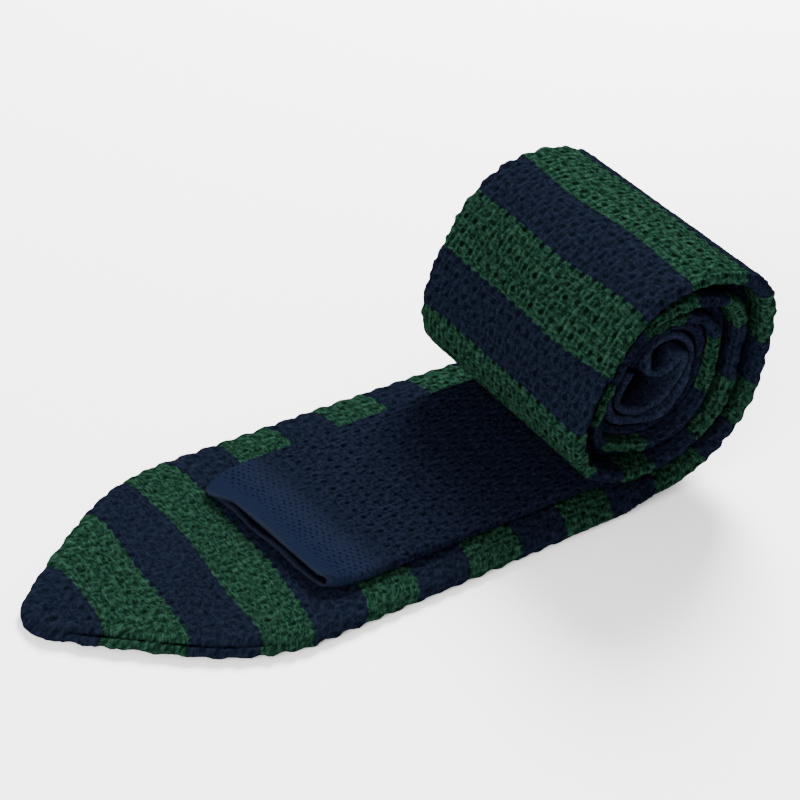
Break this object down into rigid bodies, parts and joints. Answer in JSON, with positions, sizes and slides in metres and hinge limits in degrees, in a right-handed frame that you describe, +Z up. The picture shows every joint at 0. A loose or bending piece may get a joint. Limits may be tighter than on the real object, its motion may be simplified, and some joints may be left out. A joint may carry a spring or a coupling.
{
  "type": "knit tie",
  "caption": "Knit tie with a blunt pointed, broadly striped blade, folded in half and rolled up from the fold, with its plain hemmed tail lying on the blade.",
  "frame": {"origin": "on the surface that the tie lies on, in the middle of its outline seen from above", "axes": "+Z up, -X towards the blade's point, +X towards the roll, Y along the roll's axis"},
  "size_m": [0.1462, 0.0596, 0.0508],
  "materials": {
    "blade_knit": "matt open tuck knit in broad stripes of dark green and navy",
    "neck_knit": "matt close plain knit in navy",
    "tail_knit": "matt open mesh knit in blue navy",
    "hem_knit": "matt fine smooth knit in blue navy"
  },
  "bodies": {
    "root": {"blade": "blade_knit", "neck_band": "neck_knit", "tail": "tail_knit", "tail_hem": "hem_knit"}
  },
  "joints": []
}
